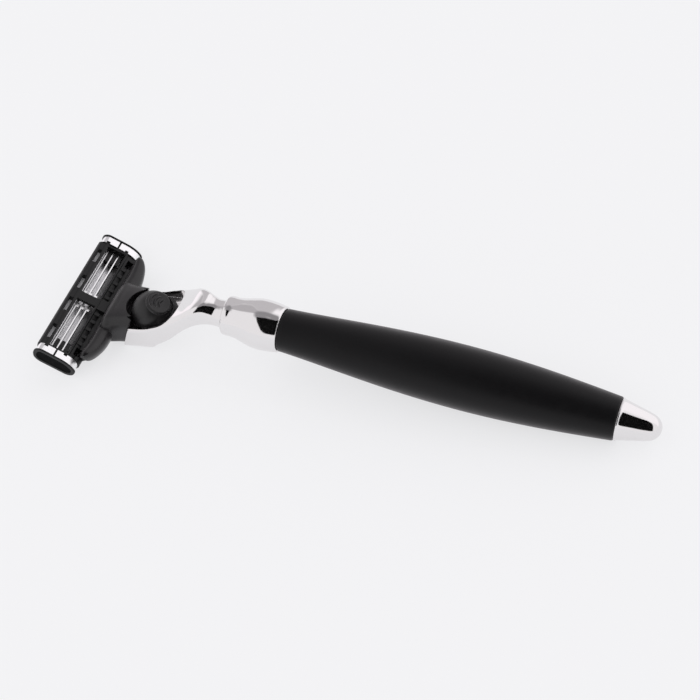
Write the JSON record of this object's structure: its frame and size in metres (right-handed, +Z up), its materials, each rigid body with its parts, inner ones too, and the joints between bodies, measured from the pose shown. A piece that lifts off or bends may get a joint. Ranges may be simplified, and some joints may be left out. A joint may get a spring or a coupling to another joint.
{
  "type": "cartridge razor",
  "caption": "Safety razor with a turned black grip, bright cast head and ferrule, release button and a pivoting multi-blade cartridge.",
  "frame": {"origin": "bottom centre of the bounding box, on the surface that the razor lies on", "axes": "+X along the grip from the cartridge to the finial, +Y along the blades, +Z up, the release button and the cartridge's open back facing up"},
  "size_m": [0.157, 0.0414, 0.019],
  "materials": {
    "chrome": "mirror-bright plating",
    "grip_black": "satin black lacquer on a turned tube",
    "head_plastic": "fine moulded texture",
    "cartridge_plastic": "moulded, slightly glossy on the edges",
    "clip_metal": "bright rolled strip",
    "blade_steel": "fine ground",
    "spring_steel": "drawn wire and bar",
    "brass": "machined",
    "strip_grey": "dry water-soluble strip",
    "guard_rubber": "soft matt"
  },
  "bodies": {
    "handle": {"grip_barrel": "grip_black", "ferrule": "chrome", "finial": "chrome", "head_casting": "chrome", "tie_rod": "spring_steel", "front_bush": "brass", "rear_bush": "brass", "rod_nut": "spring_steel", "button_stop_screw": "spring_steel", "nose_insert": "head_plastic", "button_spring_left": "spring_steel", "button_spring_right": "spring_steel", "plunger_spring": "spring_steel"},
    "release_button": {"release_button": "head_plastic"},
    "plunger": {"plunger": "head_plastic"},
    "yoke": {"yoke": "head_plastic"},
    "cartridge": {"cartridge_housing": "cartridge_plastic", "clip_left": "clip_metal", "clip_right": "clip_metal", "guard_strip": "guard_rubber", "lubricating_strip": "strip_grey"},
    "blade_1": {"blade_support_1": "blade_steel", "blade_1": "blade_steel"},
    "blade_2": {"blade_support_2": "blade_steel", "blade_2": "blade_steel"},
    "blade_3": {"blade_support_3": "blade_steel", "blade_3": "blade_steel"}
  },
  "joints": [
    {"name": "button_slide", "type": "slide", "parent": "handle", "child": "release_button", "axis": [-0.9759, 0, -0.2181], "range_m": [0, 0.0012], "stiffness_N_per_m": 500, "deforming": ["button_spring_left", "button_spring_right"]},
    {"name": "plunger_slide", "type": "slide", "parent": "handle", "child": "plunger", "axis": [-0.9759, 0, -0.2181], "range_m": [-0.0022, 0], "deforming": ["plunger_spring"]},
    {"name": "cartridge_release", "type": "slide", "parent": "handle", "child": "yoke", "axis": [-0.9759, 0, -0.2181], "range_m": [0, 0.015]},
    {"name": "blade_pivot", "type": "hinge", "parent": "yoke", "child": "cartridge", "pos_m": [-0.06913, 0, 0.00292], "axis": [0, 1, 0], "range_deg": [0, 44], "stiffness_Nm_per_rad": 0.004, "springref_deg": -17.19},
    {"name": "blade_float_1", "type": "slide", "parent": "cartridge", "child": "blade_1", "axis": [0.3754, 0, 0.9269], "range_m": [0, 0.0004], "stiffness_N_per_m": 800},
    {"name": "blade_float_2", "type": "slide", "parent": "cartridge", "child": "blade_2", "axis": [0.3754, 0, 0.9269], "range_m": [0, 0.0004], "stiffness_N_per_m": 800},
    {"name": "blade_float_3", "type": "slide", "parent": "cartridge", "child": "blade_3", "axis": [0.3754, 0, 0.9269], "range_m": [0, 0.0004], "stiffness_N_per_m": 800}
  ],
  "couplings": [
    {"joint": "plunger_slide", "follows": "blade_pivot", "m_per_rad": -0.00267}
  ]
}
